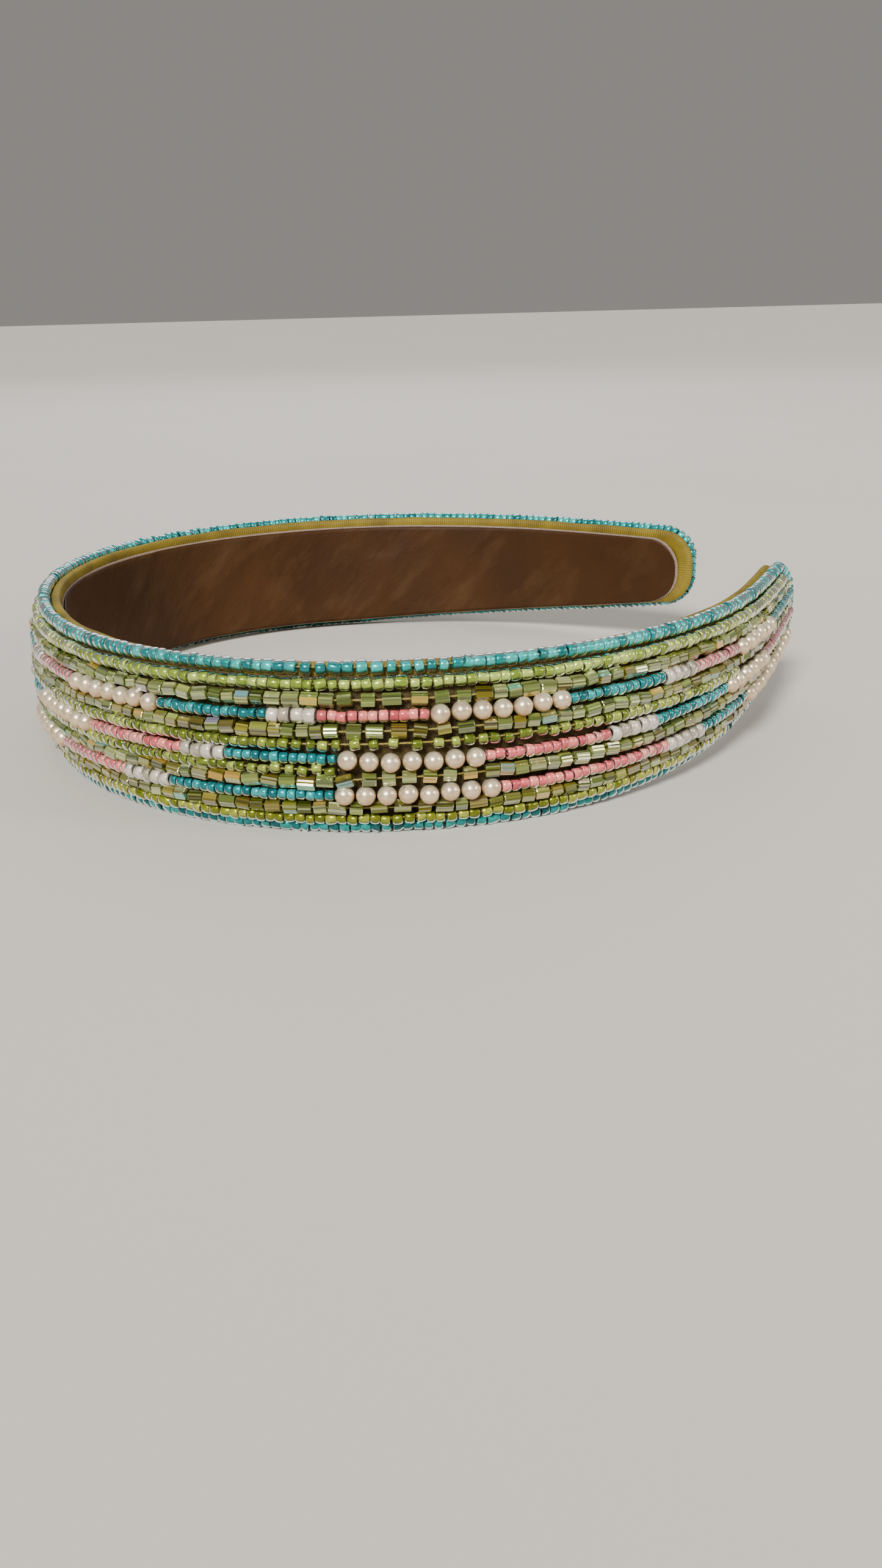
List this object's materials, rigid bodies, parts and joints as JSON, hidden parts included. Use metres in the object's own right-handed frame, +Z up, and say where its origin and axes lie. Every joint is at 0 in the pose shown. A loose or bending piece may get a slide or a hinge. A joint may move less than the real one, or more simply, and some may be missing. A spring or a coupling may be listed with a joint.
{
  "type": "beaded headband",
  "caption": "Padded C-shaped headband, leather-lined and cloth-bound, its outer face covered in horizontal rows of glass beads and pearls.",
  "frame": {"origin": "middle of the base of the standing headband, on the surface that it stands on", "axes": "+Z up the band's width, +X from the crown towards the two tips, +Y towards one arm"},
  "size_m": [0.14, 0.1424, 0.0261],
  "materials": {
    "core_plastic": "satin pale plastic strip, hidden",
    "foam": "soft closed-cell foam, hidden",
    "backing_cloth": "coarse dark olive-brown weave",
    "edge_satin": "mustard-olive ribbed sateen",
    "lining_base": "pale pinkish-grey cloth edge",
    "lining_leather": "dark chocolate-brown faux leather, matt, soft creases",
    "teal_glass": "clear glass seed beads with a bright teal lining",
    "lime_glass": "clear glass seed beads with a lime-green lining",
    "hex_glass": "translucent pale olive hex-cut beads with a rainbow finish",
    "green_glass": "olive-green lustre seed beads",
    "gold_green_glass": "olive-gold lined seed beads",
    "deep_teal_glass": "clear glass seed beads with a dark teal lining",
    "pearl": "round cream imitation pearls",
    "stripe_seeds": "pink, milky white and deep teal lustre seed beads"
  },
  "bodies": {
    "root": {"backing_cloth": "backing_cloth", "bottom_teal_row": "deep_teal_glass", "edge_binding": "edge_satin", "foam_padding": "foam", "front_tip_teal_row": "teal_glass", "gold_green_row": "gold_green_glass", "green_row": "green_glass", "leather_lining": "lining_leather", "lime_row": "lime_glass", "lining_base": "lining_base", "lower_hex_row": "hex_glass", "lower_stripe_pearls_1": "pearl", "lower_stripe_pearls_2": "pearl", "lower_stripe_pearls_3": "pearl", "lower_stripe_pearls_4": "pearl", "lower_stripe_pearls_5": "pearl", "lower_stripe_seeds_1": "stripe_seeds", "lower_stripe_seeds_2": "stripe_seeds", "lower_stripe_seeds_3": "stripe_seeds", "lower_stripe_seeds_4": "stripe_seeds", "lower_stripe_seeds_5": "stripe_seeds", "middle_stripe_pearls_1": "pearl", "middle_stripe_pearls_2": "pearl", "middle_stripe_pearls_3": "pearl", "middle_stripe_pearls_4": "pearl", "middle_stripe_pearls_5": "pearl", "middle_stripe_pearls_6": "pearl", "middle_stripe_seeds_1": "stripe_seeds", "middle_stripe_seeds_2": "stripe_seeds", "middle_stripe_seeds_3": "stripe_seeds", "middle_stripe_seeds_4": "stripe_seeds", "middle_stripe_seeds_5": "stripe_seeds", "middle_stripe_seeds_6": "stripe_seeds", "middle_stripe_seeds_7": "stripe_seeds", "rear_tip_teal_row": "teal_glass", "second_hex_row": "hex_glass", "short_green_row": "green_glass", "spring_core": "core_plastic", "third_hex_row": "hex_glass", "top_teal_row": "teal_glass", "upper_hex_row": "hex_glass", "upper_stripe_pearls_1": "pearl", "upper_stripe_pearls_2": "pearl", "upper_stripe_pearls_3": "pearl", "upper_stripe_pearls_4": "pearl", "upper_stripe_pearls_5": "pearl", "upper_stripe_pearls_6": "pearl", "upper_stripe_seeds_1": "stripe_seeds", "upper_stripe_seeds_2": "stripe_seeds", "upper_stripe_seeds_3": "stripe_seeds", "upper_stripe_seeds_4": "stripe_seeds", "upper_stripe_seeds_5": "stripe_seeds", "upper_stripe_seeds_6": "stripe_seeds", "upper_stripe_seeds_7": "stripe_seeds"}
  },
  "joints": []
}
